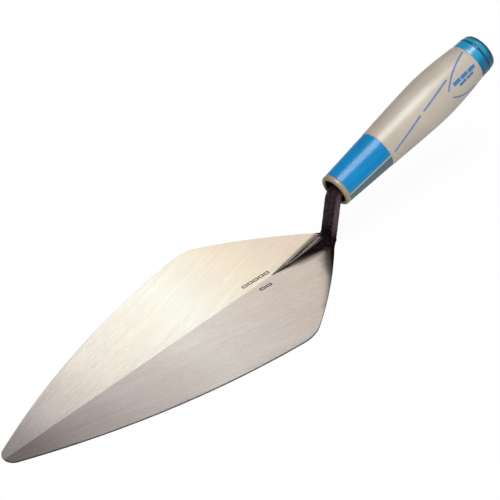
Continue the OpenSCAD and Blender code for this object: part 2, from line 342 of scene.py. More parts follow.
# heel outline, from the tongue's foot to the shank's back corner and round its back
JOIN = CORNER + SIDE
hug = level_outline(1.8, 0.04)
foot_point = np.array([FOOT_X, edge_y(FOOT_X)])
hollow = bezier(foot_point, foot_point + heel_dir * 2.2, hug[JOIN] + np.array([1.6, 1.0]),
                hug[JOIN], (np.arange(JOIN) / JOIN)[:, None])
heel_out = np.vstack([hollow, hug[JOIN:]])
heel_count = len(heel_out)

# columns across the plate, from the centre line or the tongue's foot to the outline
toe_turns = np.linspace(toe_angle + math.pi / 2, 0, 22)[1:]
toe_count = len(toe_turns)
column_x = np.concatenate([
    tongue[::-1, FRONT, 0],
    np.linspace(TONGUE_END, SHOULDER_X - 8, 12)[1:],
    np.linspace(SHOULDER_X - 8, 105, 30)[1:],
    np.linspace(105, toe_start[0], 56)[1:],
    toe_centre[0] + TOE_R * np.cos(toe_turns)])
inner = np.c_[column_x, tongue_half(column_x)]
outer = np.c_[column_x, edge_y(column_x)]
outer[-toe_count:, 1] = TOE_R * np.sin(toe_turns)
ACROSS_SHARES = np.concatenate([[0, .004], np.linspace(0.02, 0.97, 22), [0.985, 0.995, 1.0]])

outline = np.vstack([heel_out[::-1], outer[1:]])      # middle of the back -> toe, y > 0
tangent = np.gradient(outline, axis=0)
normal = np.c_[-tangent[:, 1], tangent[:, 0]]
normal /= np.hypot(*normal.T)[:, None]
normal[0] = (-1, 0)
normal[-1] = (1, 0)
rim = outline - normal * BEVEL                        # where the top face ends
rim_front = rim[heel_count - 1:]
rim_heel = rim[:heel_count][::-1]                     # foot -> middle of the back
inner[-toe_count:, 0] = rim_front[-toe_count:, 0]


def wave(x, y, other):
    """Slight waviness from grinding; `other` picks the second half's pattern."""
    fade = (np.clip(np.abs(y) / 6, 0, 1) * np.clip((BLADE_LENGTH - x) / 20, 0, 1)
            * np.clip((x - 4) / 20, 0, 1))
    y = y + 100.0 * other
    return fade * (0.018 * np.sin(x / 13.0 + 0.7) * np.sin(y / 11.0 + x / 47.0)
                   + 0.014 * np.sin(x / 7.7 - y / 15.0 + 2.0)
                   + 0.01 * np.sin(y / 5.1 + x / 31.0))


def stretch(start, end):
    """Rows of points from each start to its end."""
    return start[:, None] + (end - start)[:, None] * ACROSS_SHARES[:, None]


flat = stretch(inner, rim_front)
plate = np.dstack([flat, plate_z(flat[..., 0], flat[..., 1])])
fade = np.clip((1 - ACROSS_SHARES) / 0.04, 0, 1) * np.clip(ACROSS_SHARES / 0.06, 0, 1)
for sign in (1, -1):
    half = plate.copy()
    half[..., 2] += wave(half[..., 0], half[..., 1], sign < 0) * fade
    half[..., 1] *= sign
    add_grid(half, flip=sign < 0)

# (share of the bevel outwards, factor on the top height, added height), top to underside
RIM = [(0, 1, 0), (0.62, 1, -0.05), (0.93, 1, -0.13), (1, 1, -0.24), (1, 0.5, 0),
       (1, 0, 0.20), (0.93, 0, 0.10), (0.62, 0, 0.03), (0, 0, 0)]


def rim_strip(out, top, top_z):
    """Bevel, edge face and lower bevel along the outline."""
    rows = [np.c_[top + (out - top) * share, top_z * factor + added]
            for share, factor, added in RIM]
    return np.array(rows).transpose(1, 0, 2)


add_both(rim_strip(outline[heel_count - 1:], rim_front, plate[:, -1, 2]))

# narrow ledge of the blade beside and behind the shank; root_foot is its inner line,
# continued along the end of the tongue
root_foot = np.zeros((AROUND + 1, 3))
root_foot[:FRONT + 1] = tongue[-1]
hug_in = level_outline(2.4, -0.04)
for i in range(1, heel_count):
    point = rim_heel[i]
    keep = (1 - min(1.0, i / JOIN)) ** 1.5
    x, y = (keep * (inner[0] + (point - rim_heel[0]))
            + (1 - keep) * (point + (hug_in[i] - point) * 0.75))
    root_foot[FRONT + i] = (x, y, plate_z(max(x, 0), y))
heel_z = plate_z(np.maximum(rim_heel[:, 0], 0), rim_heel[:, 1])
ledge = stretch(root_foot[FRONT:], np.c_[rim_heel, heel_z])
ledge[0] = plate[0]
add_both(ledge)
add_both(rim_strip(outline[:heel_count][::-1], rim_heel, heel_z))

# underside: strips across the blade, the first one bent round the back of the shank
under = rim[BACK:]
underside = np.zeros((len(under), 2 * BACK + 1, 3))
underside[..., 0] = under[:, :1]
underside[..., 1] = under[:, 1:] * np.linspace(1, -1, 2 * BACK + 1)
underside[0, :, :2] = np.vstack([rim[:BACK + 1][::-1],
                                 rim[1:BACK + 1] * np.array([1, -1])])
add_grid(underside)

# ---------------------------------------------------------------- shank and tang

# root: curves from the blade up to level rings on the straight bar
ROOT_STEPS, CURVED = 18, 0.75               # the curve takes this share of the steps
ROOT_TOP = 15.0
root = np.zeros((ROOT_STEPS + 1, AROUND + 1, 3))
for j in range(AROUND + 1):
    flank = (j - STRIP_COLS) / (FRONT - STRIP_COLS)
    curve_top = 13.0 - 6.0 * min(1.0, max(0.0, flank))
    start = root_foot[j]
    if j <= FRONT:
        pull_z = min(start[2] + 0.25 + 0.9 * max(0.0, flank), curve_top - 3)
    else:
        pull_z = start[2] + 1.1 * (1 - min(1.0, (j - FRONT) / 8)) + 0.35
    middle, end, top = (post_point(j, z) for z in (pull_z, curve_top, ROOT_TOP))
    for i in range(ROOT_STEPS + 1):
        share = i / ROOT_STEPS
        if share <= CURVED:
            share /= CURVED
            root[i, j] = ((1 - share) ** 2 * start + 2 * (1 - share) * share * middle
                          + share * share * end)
        else:
            root[i, j] = end + (top - end) * (share - CURVED) / (1 - CURVED)


def shank_ring(centre, front, scale=1.0, thin=0.0):
    """Half section square to the axis; `thin` is taken off its front."""
    fronts = (BAR[:, 0] - thin * np.maximum(0, BAR[:, 0] + 1) / (SHANK_D / 2 + 1)) * scale
    sides = BAR[:, 1] * scale * (1 - 0.02 * thin)
    return centre + front * fronts[:, None] + ACROSS * sides[:, None]


def round_ring(dist, radius):
    return np.array([MOUTH + dist * AXIS + TOP_SIDE * (radius * math.cos(a))
                     + ACROSS * (radius * math.sin(a))
                     for a in (math.atan2(y, front) for front, y in BAR)])


rings = list(root)
shank_up = np.array([-math.sin(LEAN), 0, math.cos(LEAN)])
shank_front = np.array([math.cos(LEAN), 0, math.sin(LEAN)])
bend = math.pi / 2 - LEAN - TILT
bend_run = BEND_R * math.tan(bend / 2)      # from the corner back to where the bend starts
bend_start = BEND - bend_run * shank_up
bend_centre = bend_start - BEND_R * shank_front
shank_base = np.array([-SHANK_BACK, 0, 0.0])
straight = np.linalg.norm(bend_start - shank_base)

STRAIGHT_STEPS, BEND_STEPS, STUB_STEPS, TANG_STEPS = 14, 16, 4, 12
STRAIGHT_FROM, SQUARING = 17.0, 5           # rings turn from level to square in 5 steps
for i in range(1, STRAIGHT_STEPS + 1):
    dist = STRAIGHT_FROM + (straight - STRAIGHT_FROM) * i / STRAIGHT_STEPS
    centre = shank_base + shank_up * dist
    square = min(1.0, i / SQUARING)
    level = np.array([post_point(j, centre[2]) for j in range(AROUND + 1)])
    rings.append(level * (1 - square) + shank_ring(centre, shank_front) * square)
for i in range(1, BEND_STEPS + 1):
    angle = LEAN + bend * i / BEND_STEPS
    front = np.array([math.cos(angle), 0, math.sin(angle)])
    rings.append(shank_ring(bend_centre + BEND_R * front, front,
                            thin=SHANK_THIN * min(1.0, i / BEND_STEPS)))
bend_end = bend_run - 0.6
for i in range(1, STUB_STEPS + 1):
    dist = bend_end + (STUB - 0.4 - bend_end) * i / STUB_STEPS
    rings.append(shank_ring(MOUTH + dist * AXIS, TOP_SIDE, thin=SHANK_THIN))
# shoulder, round tang and its end
rings.append(shank_ring(MOUTH + (STUB - 0.15) * AXIS, TOP_SIDE, 0.97, SHANK_THIN))
rings.append(round_ring(STUB - 0.1, 4.3))
rings.append(round_ring(STUB + 0.15, 4.22))
for i in range(1, TANG_STEPS + 1):
    dist = STUB + (TANG - 0.6 - STUB) * i / TANG_STEPS
    taper = (dist - STUB) / (TANG - STUB)
    rings.append(round_ring(dist, TANG_R + (TANG_END_R - TANG_R) * taper - 0.02))
rings.append(round_ring(TANG - 0.15, 3.35))
rings.append(round_ring(TANG - 0.02, 2.6))
rings.append(round_ring(TANG - 0.02, 0.0))
rings = np.array(rings)


def unevenness(points):
    """Smooth forging unevenness, from a fixed sum of waves."""
    x, y, z = points.T
    return 0.075 * (
        np.sin(0.9 * x + 1.7 * z + 0.4) * np.sin(1.1 * y - 0.8 * z + 1.2)
        + 0.6 * np.sin(2.1 * x - 1.3 * y + 0.5 * z + 2.0) * np.sin(1.6 * z + 0.9 * y)
        + 0.35 * np.sin(3.7 * x + 2.9 * y + 3.3 * z))


# the unevenness covers the visible shank and fades out at both its ends
last = ROOT_STEPS + STRAIGHT_STEPS + BEND_STEPS
for i in range(3, last + 1):
    ring = rings[i]
    out = ring - ring.mean(0) * np.array([1, 0, 1])
    out /= np.linalg.norm(out, axis=1)[:, None] + 1e-9
    aside = np.minimum(1, np.abs(ring[:, 1:2]))       # keeps the middle plane closed
    shares = np.hstack([0.4 + 0.6 * aside, aside, 0.4 + 0.6 * aside])
    ends = min(1, (i - 2) / 8) * min(1, (last - i) / 6)
    rings[i] = ring + out * (unevenness(ring)[:, None] * ends) * shares
add_both(rings)

forging = link("blade_forging_visual", *forging_shell, merge=2e-3, sharp=28)

# ---------------------------------------------------------------- stamp in the blade

BRICK_LINE, BRICK_GAP = 0.70, 0.30          # line width, half the gap between bricks
STAMP_DEPTH = 0.26
stamp_shell = ([], [])


def brick_row(start, end, count, tall):
    """A row of brick outlines between two plan points, each one a closed frame."""
    start, end = np.array(start, float), np.array(end, float)
    length = np.hypot(*(end - start))
    along = (end - start) / length
    side = np.array([-along[1], along[0]])
    pitch = length / count
    line_y = math.copysign(BRICK_LINE, tall)
    for i in range(count):
        left, right = i * pitch + BRICK_GAP, (i + 1) * pitch - BRICK_GAP
        low, high = left + BRICK_LINE, right - BRICK_LINE
        frame = [(left, 0.0), (right, 0.0), (right, tall), (left, tall),
                 (low, line_y), (high, line_y), (high, tall - line_y), (low, tall - line_y)]
        z = plate_z(*(start + along * (left + right) / 2 + side * tall / 2))
        points = [(*(start + along * a + side * b), level)
                  for level in (z - STAMP_DEPTH, z + 1.0) for a, b in frame]
        quads = []
        for j in range(4):
            k = (j + 1) % 4
            quads += [(j, k, 4 + k, 4 + j), (8 + j, 12 + j, 12 + k, 8 + k),
                      (j, 8 + j, 8 + k, k), (4 + j, 4 + k, 12 + k, 12 + j)]
        append(stamp_shell, points, quads)


brick_row((47.6, -2.9), (70.8, -4.1), 5, -2.5)
brick_row((54.4, 4.5), (64.4, 3.4), 2, 2.3)
boolean(forging, link("stamp_cutter", *stamp_shell), "DIFFERENCE")
soften(forging, 28)

# ---------------------------------------------------------------- point masks of the blade

blade_mesh = forging.data
coords = np.zeros(len(blade_mesh.vertices) * 3)
blade_mesh.vertices.foreach_get("co", coords)
coords = coords.reshape(-1, 3) / MM
# the ridge in front of the tongue stays crisp
for edge in blade_mesh.edges:
    ends = coords[list(edge.vertices)]
    if (abs(ends[:, 1]).max() < 0.01 and ends[:, 0].min() > TONGUE_END - 0.5
            and ends[:, 2].min() > 0.9):
        edge.use_edge_sharp = True


def ease(start, end, value):
    """Smooth step from 0 at start to 1 at end; start may be the larger."""
    share = np.clip((value - start) / (end - start), 0, 1)
    return share * share * (3 - 2 * share)


def point_mask(name, values):
    layer = blade_mesh.attributes.new(name, "FLOAT", "POINT")
    layer.data.foreach_set("value", values.astype(np.float32))


x, y, z = coords.T
side_y = np.abs(y)
plus, minus = y > 0, ~(y > 0)
top_z = plate_z(np.clip(x, 0, None), y)
foot = tongue_half(np.clip(x, FOOT_X, TONGUE_END))
strip = np.minimum(strip_half(x), 0.45 * foot)
# 0 at the strip's border, 1 at the tongue's foot
down = (side_y - strip) / np.maximum(foot - strip, 0.2)
outside = side_y - foot
beyond = np.clip(outside, 0, 99)
to_edge = edge_y(np.clip(x, FOOT_X, BLADE_LENGTH)) - side_y
on_tongue = ((x > FOOT_X - 0.5) & (x < TONGUE_END + 0.5)
             & (side_y < foot * 1.35 + 0.3) & (z > 0.9))

# painted reflection: the sides of the shank lighter
point_mask("shank_side_reflection", ease(4.3, 5.1, side_y) * ease(5.0, 9.0, z) * ease(6, 2, x) * (x < 4))

# where forging scale is left: shank, +Y flank, tongue tip, strip border, root, back edge
post = np.maximum(ease(5.6, 3.2, x) * ease(5.9, 7.2, z), ease(9.2, 11.5, z))
narrowing = ease(4, 30, x)
flank_scale = (ease(0.02, 0.12, down)
               * ease(1.15 - 0.55 * narrowing, 0.80 - 0.50 * narrowing, down)
               * ease(38, 18, x) * plus * on_tongue)
tip_scale = (ease(30, 36, x) * ease(49.5, 47, x)
             * ease(0.75, 0.25, np.abs(side_y / np.maximum(foot, 0.35) - 0.55))
             * plus * on_tongue * 0.62)
border_scale = (ease(0.95, 0.45, np.abs(side_y - strip - 0.12))
                * minus * on_tongue * ease(40, 24, x))
minus_root = (ease(4.6, 2.6, x) * ease(-0.05, 0.25, 1 - down)
              * minus * on_tongue * ease(3.6, 5.0, z))
back_scale = (ease(38, 4, x) * ease(1.6 + 7.5 * ease(26, 0, x), 0.1, to_edge)
              * plus * (x > FOOT_X - 0.2))
heel_scale = np.where(plus, ease(5.5, 1.5, x),
                      ease(1.2, 0.2, x) * ease(2.2, 3.4, z + (x < 0.2) * 3))
scale = np.clip(np.maximum.reduce([post, flank_scale, tip_scale, border_scale, minus_root,
                                   back_scale, heel_scale * (z > 0.05)]), 0, 1)
point_mask("scale_mask", np.where(z < 0.02, ease(14, -4, x) * 0.7, scale))

# painted shade on the tongue's strip and flanks, beside the tongue, at its tip, round the
# root and along the +Y back edge; a darker line along the very edge of the outline
over_strip = np.clip(y / np.maximum(strip, 0.1), -1, 1)
strip_shade = ease(0.08, -0.02, down) * on_tongue * (0.52 - 0.14 * over_strip)
minus_flank = (ease(-0.02, 0.08, down) * ease(1.06, 1.0, down) * minus * on_tongue
               * np.clip(0.38 + 0.013 * x, 0, 0.93))
plus_flank = ease(0.0, 0.08, down) * ease(1.12, 1.0, down) * plus * on_tongue * 0.97
by_tongue = x < TONGUE_END + 6
minus_halo = (minus * np.exp(-beyond / 0.45) * 0.82 * ease(49, 40, x)
              * (outside > -0.3) * by_tongue)
plus_halo = (plus * np.exp(-(beyond / (0.7 + 2.5 * ease(40, 24, x))) ** 2) * 0.93
             * (outside > -0.6) * by_tongue * ease(TONGUE_END + 1, 38, x))
tip_shade = (ease(29, 37, x) * ease(0.9, 0.0, beyond)
            * (x < TONGUE_END + 0.5) * (z > 0.9) * 0.97)
from_root = np.hypot(np.clip(x - 4.0, 0, 99) / 1.2, np.clip(side_y - 5.3, 0, 99))
root_shade = plus * 0.95 * np.exp(-(from_root / 7.0) ** 2)
edge_reach = 3.0 + 8.0 * ease(27, 14, x)
edge_shade = (plus * (0.90 - 0.45 * ease(20, 45, x)) * ease(72, 50, x)
             * np.exp(-(np.clip(to_edge, 0, 99) / edge_reach) ** 2) * (x > FOOT_X))
painted_shade_and_rim = (np.maximum.reduce([strip_shade, minus_flank, plus_flank, minus_halo, plus_halo,
                           tip_shade, root_shade, edge_shade])
        * (z > 0.6) * ease(TONGUE_END + 4, TONGUE_END - 1, x))
rim_dark = ease(0.11, 0.03, to_edge) * (x > FOOT_X) * (z > 0.05) * 0.93
point_mask("painted_shade_and_rim", np.maximum(painted_shade_and_rim, rim_dark))

# dark floor of the stamp
point_mask("stamp", (x > 46.5) & (x < 72) & (side_y < 8) & (z < top_z - 0.15) & (z > 0.5))

# ---------------------------------------------------------------- handle helpers


def handle_radius(dist):
    if dist <= BAND:
        return NOSE_R + (WAIST_R - NOSE_R) * (dist - LIP) / (BAND - LIP)
    if dist <= BELLY:
        share = (BELLY - dist) / (BELLY - BAND)
        return BELLY_R - (BELLY_R - WAIST_R - STEP) * share ** 1.23
    share = (min(dist, GRIP) - BELLY) / (GRIP - BELLY)
    return BELLY_R - (BELLY_R - NECK_R) * share ** 1.95


def place(points):
    """From handle coordinates (top side, y, distance from the mouth) to the scene's, mm."""
    return (MOUTH + points[..., 0:1] * TOP_SIDE + points[..., 1:2] * ACROSS
            + points[..., 2:3] * AXIS)


def revolve(name, profile, segments=192, closed=True):
    """Turn (radius, distance) points round the handle's axis."""
    turns = np.linspace(0, 2 * math.pi, segments, endpoint=False)
    points = place(np.array([[(r * math.cos(a), r * math.sin(a), dist) for a in turns]
                             for r, dist in profile]))
    quads = []
    for i in range(len(profile) if closed else len(profile) - 1):
        row, after = i * segments, (i + 1) % len(profile) * segments
        for j in range(segments):
            k = (j + 1) % segments
            quads.append((row + j, row + k, after + k, after + j))
    return link(name, points.reshape(-1, 3).tolist(), quads, merge=1e-4, sharp=30)


def arc(centre, radius, start, end, count):
    turns = [math.radians(start + (end - start) * i / count) for i in range(count + 1)]
    return [(centre[0] + radius * math.cos(a), centre[1] + radius * math.sin(a))
            for a in turns]


def skin(start, end, count, offset=0.0):
    """Profile points along the handle's skin."""
    stations = [start + (end - start) * i / count for i in range(count + 1)]
    return [(handle_radius(dist) + offset, dist) for dist in stations]


def strip_box(path, deep, turn, width=LINE_W):
    """Closed thin wall along a smooth path on the skin, standing along the radius."""
    count, high = 26, 3.0
    dists, degrees = np.array(path, float).T
    fit = np.polyfit(dists - dists.mean(), degrees, 2 if len(path) < 6 else 3)
    stations = np.linspace(dists[0], dists[-1], count)
    angles = np.radians(np.polyval(fit, stations - dists.mean()) + turn)
    radii = np.array([handle_radius(dist) for dist in stations])
    up = np.c_[np.cos(angles), np.sin(angles), np.zeros(count)]
    centre = up * radii[:, None] + np.c_[np.zeros(count), np.zeros(count), stations]
    side = np.cross(up, np.gradient(centre, axis=0))
    side /= np.linalg.norm(side, axis=1)[:, None]
    points = []
    for i in range(count):
        for across, rise in ((-1, -deep), (1, -deep), (1, high), (-1, high)):
            points.append(centre[i] + side[i] * (across * width / 2) + up[i] * rise)
    faces = []
    for i in range(count - 1):
        for j in range(4):
            k = (j + 1) % 4
            a, b, c, d = i * 4 + j, (i + 1) * 4 + j, (i + 1) * 4 + k, i * 4 + k
            faces += [(a, b, c), (a, c, d)]
    end = (count - 1) * 4
    faces += [(0, 1, 2, 3), (end + 3, end + 2, end + 1, end)]
    obj = link("strip", place(np.array(points)).tolist(), faces)
    # a long curved wall can come out inside out
    bm = bmesh.new()
    bm.from_mesh(obj.data)
    if bm.calc_volume(signed=True) < 0:
        bmesh.ops.reverse_faces(bm, faces=bm.faces)
        bm.to_mesh(obj.data)
    bm.free()
    return obj


def ribbon(profile, path, deep, turn, width=LINE_W, segments=192):
    """The part of a revolved shell that lies within a strip box."""
    shell = revolve("ribbon", profile, segments)
    boolean(shell, strip_box(path, deep, turn, width), "INTERSECT")
    return shell


# paths on the skin: (distance from the mouth, degrees from the top side); every path
# appears twice, half a turn apart
TURNS = (0, 180)
LINES = [
    [(45.2, 75), (59.7, 61.2), (74.2, 49.4)],
    [(77.7, 47.2), (91.1, 39.6), (104.6, 31.4)],
    [(128.5, 6.4), (124.0, 11.6), (119.7, 17.4), (115.6, 23.0), (111.3, 29.8), (107.3, 37.0),
     (103.1, 46.2), (100.2, 55.6)],
    [(100.5, 72.6), (104.6, 83.6), (110.1, 93.0), (116.4, 100.2), (122.0, 103.0)]]
RIB = [(-1.0, 84.8), (21, 80.2), (BAND + 3, 75.8)]

# ---------------------------------------------------------------- soft grip

AFTER_BAND = BAND + 0.001
grip_start_r = handle_radius(AFTER_BAND)
grip = revolve("soft_grip_visual", (
    arc((grip_start_r - 0.45, BAND + 0.45), 0.45, -90, 0, 6)
    + skin(BAND + 0.6, GRIP - 0.6, 120)
    + arc((NECK_R - 0.5, GRIP - 0.5), 0.5, 0, 90, 6)
    + [(BORE_R + 1.2, GRIP), (BORE_R + 1.2, CORE_END)]
    + skin(CORE_END, AFTER_BAND, 60, -WALL)))
for turn in TURNS:
    for path in LINES:
        boolean(grip, strip_box(path, 3.6, turn), "DIFFERENCE")

# rolled lip at the mouth, with two ribs that join it to the grip across the band
lip = revolve("lip", (
    [(MOUTH_R, SEAT), (MOUTH_R, 1.0)]
    + arc((MOUTH_R + 0.9, 0.9), 0.9, 180, 270, 8)
    + arc((NOSE_R - 1.65, 1.65), 1.65, -90, 0, 10)
    + [(NOSE_R + 0.02, LIP - 0.35), (NOSE_R - 0.06, LIP - 0.08), (NOSE_R - 0.2, LIP),
       (SEAT_R, LIP), (SEAT_R, SEAT)]))
RIB_START, RIB_END = LIP - 0.77, BAND + 0.83
rib_profile = [(handle_radius(dist) + offset, dist) for dist, offset in (
    (RIB_START, -1.2), (RIB_END, -1.2), (RIB_END, 0.03), (BAND - 1, 0.03), (LIP + 1, 0.03),
    (RIB_START, -0.13))]
for turn in TURNS:
    boolean(lip, ribbon(rib_profile, RIB, 4.0, turn, segments=187), "UNION")
boolean(grip, lip, "UNION")
clean(grip)

# ---------------------------------------------------------------- hard core

core = revolve("handle_core_visual", (
    [(0, TANG + 3), (SOCKET_R, TANG + 3), (SOCKET_R, STUB + 1), (MOUTH_R, STUB + 1),
     (MOUTH_R, SEAT), (SEAT_R - 0.02, SEAT), (SEAT_R - 0.02, LIP), (NOSE_R - 0.35, LIP)]
    + arc((handle_radius(LIP) - 0.2, LIP + 0.2), 0.2, -90, 0, 4)
    + skin(LIP + 0.4, BAND - 0.3, 40)
    + [(handle_radius(BAND) - 0.02, BAND - 0.12), (handle_radius(BAND) - 0.12, BAND - 0.02),
       (grip_start_r - WALL, BAND)]
    + skin(AFTER_BAND, CORE_END, 60, -WALL)
    + [(BORE_R, CORE_END), (BORE_R, GRIP - 17), (0, GRIP - 17)]), closed=False)
# channels for the ribs, then raised lines that fill the slots in the grip
channel_profile = [(handle_radius(LIP - 1) - 1.2, LIP - 1),
                   (handle_radius(BAND) - 1.2, BAND + 0.01), (22, BAND + 0.01), (22, LIP - 1)]
for turn in TURNS:
    boolean(core, ribbon(channel_profile, RIB, 4.0, turn, LINE_W + 0.02), "DIFFERENCE")
line_profile = (skin(42.5, GRIP - 1.2, 60, -0.12)
                + skin(GRIP - 1.2, 42.5, 60, -WALL - 0.8))
for turn in TURNS:
    for path in LINES:
        boolean(core, ribbon(line_profile, path, 4.2, turn, LINE_W - 0.02), "UNION")
clean(core)

# ---------------------------------------------------------------- end cap

# (inset from the neck's radius, distance past the grip)
cap_side = (
    [(0.45, 0.02), (0.2, 0.1), (0.1, 0.35)]
    + [(0.1 + 0.15 * i / 6, 0.35 + (5.8 - 0.35) * i / 6) for i in range(1, 7)]
    + [(0.28, 6.1), (0.42, 6.35), (0.66, 6.5), (0.72, 6.8), (0.68, 7.15), (0.45, 7.35),
       (0.32, 7.65)]
    + [(0.32 + 0.32 * i / 5, 7.65 + (CAP_BACK - 1.5 - 7.65) * i / 5) for i in range(1, 6)]
    + [(inset, CAP_BACK - before) for inset, before in (
        (0.7, 1.3), (0.9, 1.1), (1.08, 0.95), (1.1, 0.75), (1.0, 0.55), (0.85, 0.35),
        (0.84, 0.15))])
crown_r = NECK_R - 0.95 - CAP_CORNER
cap = revolve("end_cap_visual", (
    [(0, GRIP + CAP - 7), (BORE_R - 2.6, GRIP + CAP - 7), (BORE_R - 2.6, GRIP - 16),
     (BORE_R - 0.5, GRIP - 16), (BORE_R - 0.05, GRIP - 15.4), (BORE_R - 0.05, GRIP + 0.02)]
    + [(NECK_R - inset, GRIP + past) for inset, past in cap_side]
    + arc((crown_r, GRIP + CAP_BACK), CAP_CORNER, 4, 82, 15)
    + [(crown_r * t, GRIP + CAP - 0.78 * t * t) for t in np.linspace(0.97, 0, 14)]),
    closed=False)

# ---------------------------------------------------------------- bond round the tang

bond = revolve("tang_bond_visual", [
    (0, TANG), (TANG_END_R, TANG), (TANG_R, STUB), (5.6, STUB + 0.05), (7.4, STUB - 0.1),
    (8.0, STUB - 0.5), (8.25, STUB - 1.2), (8.4, 6), (8.5, 3.5), (8.6, 2.2), (8.8, 1.5),
    (MOUTH_R - 0.15, 1.15), (MOUTH_R - 0.02, 1.3), (MOUTH_R - 0.02, STUB + 1),
    (SOCKET_R - 0.01, STUB + 1), (SOCKET_R - 0.01, TANG + 2.99), (0, TANG + 2.99)],
    segments=128, closed=False)

# ---------------------------------------------------------------- printed mark: bricks

# start and end distance from the mouth, start and end degrees from the top side
BRICKS = [(106.0, 112.6, 47.5, 56.8), (113.4, 120.0, 48.2, 57.6), (120.8, 127.4, 49.2, 58.8),
          (109.7, 116.3, 60.4, 66.8), (117.1, 123.7, 61.2, 67.6)]
mark_shell = ([], [])


def add_tile(start, end, from_deg, to_deg):
    """A thin closed tile that follows the skin."""
    rows, cols = 6, 5
    points = []
    for offset in (0.05, -0.12):            # above and below the skin
        for i in range(rows + 1):
            dist = start + (end - start) * i / rows
            radius = handle_radius(dist) + offset
            for j in range(cols + 1):
                angle = math.radians(from_deg + (to_deg - from_deg) * j / cols)
                points.append((radius * math.cos(angle), radius * math.sin(angle), dist))
    low = len(points) // 2
    row = cols + 1
    faces = []
    for a, b, c, d in grid_quads(rows + 1, row):
        faces += [(a, b, c, d), (low + a, low + d, low + c, low + b)]
    border = [*range(row), *(i * row + cols for i in range(1, rows + 1)),
              *(rows * row + j for j in range(cols - 1, -1, -1)),
              *(i * row for i in range(rows - 1, 0, -1))]
    faces += [(a, low + a, low + b, b) for a, b in zip(border, border[1:] + border[:1])]
    append(mark_shell, place(np.array(points)).tolist(), faces)


for turn in TURNS:
    for start, end, from_deg, to_deg in BRICKS:
        add_tile(start, end, from_deg + turn, to_deg + turn)
mark = link("grip_mark", *mark_shell, sharp=40)

# ---------------------------------------------------------------- shader nodes


class Net:
    """Small builder for a node tree; every value may be a number or an output socket."""

    def __init__(self, tree):
        self.tree = tree

    def node(self, kind, **settings):
        node = self.tree.nodes.new(kind)
        for name, value in settings.items():
            setattr(node, name, value)
        return node

    def put(self, node, values):
        """Set inputs from a dict of socket name or number to value."""
        for key, value in values.items():
            if isinstance(value, bpy.types.NodeSocket):
                self.tree.links.new(value, node.inputs[key])
            else:
                node.inputs[key].default_value = value

    def make(self, kind, inputs, output=0, **settings):
        node = self.node(kind, **settings)
        self.put(node, inputs)
        return node.outputs[output]

    def math(self, operation, *values):
        return self.make("ShaderNodeMath", dict(enumerate(values)), operation=operation)

    def add(self, first, second):
        return self.math("ADD", first, second)

    def sub(self, first, second):
        return self.math("SUBTRACT", first, second)

    def mul(self, first, second):
        return self.math("MULTIPLY", first, second)

    def vector(self, operation, *values):
        output = "Value" if operation == "DOT_PRODUCT" else "Vector"
        return self.make("ShaderNodeVectorMath", dict(enumerate(values)), output,
                         operation=operation)

    def combine(self, *values):
        return self.make("ShaderNodeCombineXYZ", dict(enumerate(values)))

    def split(self, vector):
        node = self.node("ShaderNodeSeparateXYZ")
        self.put(node, {0: vector})
        return node.outputs

    def noise(self, vector, scale, detail=3.0, rough=0.55, distort=0.0):
        return self.make("ShaderNodeTexNoise", {
            "Vector": vector, "Scale": scale, "Detail": detail, "Roughness": rough,
            "Distortion": distort}, "Fac")

    def ramp(self, factor, stops):
        """Colour ramp from (position, colour) stops."""
        node = self.node("ShaderNodeValToRGB")
        elements = node.color_ramp.elements
        while len(elements) > 1:
            elements.remove(elements[-1])
        elements[0].position = stops[0][0]
        elements[0].color = (*stops[0][1], 1)
        for position, color in stops[1:]:
            elements.new(position).color = (*color, 1)
        self.put(node, {0: factor})
        return node.outputs[0]

    def remap(self, value, source, target=(0.0, 1.0), smooth=False):
        """Map the source range onto the target range, clamped."""
        return self.make("ShaderNodeMapRange", dict(enumerate((value, *source, *target))),
                         interpolation_type="SMOOTHSTEP" if smooth else "LINEAR")

    def mix(self, factor, first, second, blend="MIX"):
        """Blend two colours."""
        first, second = ((*c, 1) if isinstance(c, tuple) else c for c in (first, second))
        return self.make("ShaderNodeMix", {0: factor, 6: first, 7: second}, 2,
                         data_type="RGBA", blend_type=blend)

    def mix_value(self, factor, first, second):
        return self.make("ShaderNodeMix", {0: factor, 2: first, 3: second},
                         data_type="FLOAT")

    def bump(self, height, strength, distance, under=None):
        values = {"Strength": strength, "Distance": distance, "Height": height}
        if under is not None:
            values["Normal"] = under
        return self.make("ShaderNodeBump", values)

    def mask(self, name):
        return self.make("ShaderNodeAttribute", {}, "Fac", attribute_name=name)

    def camera_ray(self):
        return self.make("ShaderNodeLightPath", {}, "Is Camera Ray")

    def coords(self, output="Object"):
        return self.make("ShaderNodeTexCoord", {}, output)

    def point_mm(self):
        return self.vector("MULTIPLY", self.coords(), (1000.0, 1000.0, 1000.0))

    def handle(self):
        """The point in mm, its offset from the mouth and its distance along the axis."""
        point = self.point_mm()
        offset = self.vector("SUBTRACT", point, tuple(MOUTH))
        return point, offset, self.vector("DOT_PRODUCT", offset, tuple(AXIS))

    def handle_angle(self, offset):
        """Radians from the handle's top side towards +Y."""
        up = self.vector("DOT_PRODUCT", offset, tuple(TOP_SIDE))
        return self.math("ARCTAN2", self.vector("DOT_PRODUCT", offset, (0.0, 1.0, 0.0)), up)


def new_material(name):
    material = bpy.data.materials.new(name)
    material.use_nodes = True
    tree = material.node_tree
    return material, Net(tree), tree.nodes["Principled BSDF"]


# ---------------------------------------------------------------- materials


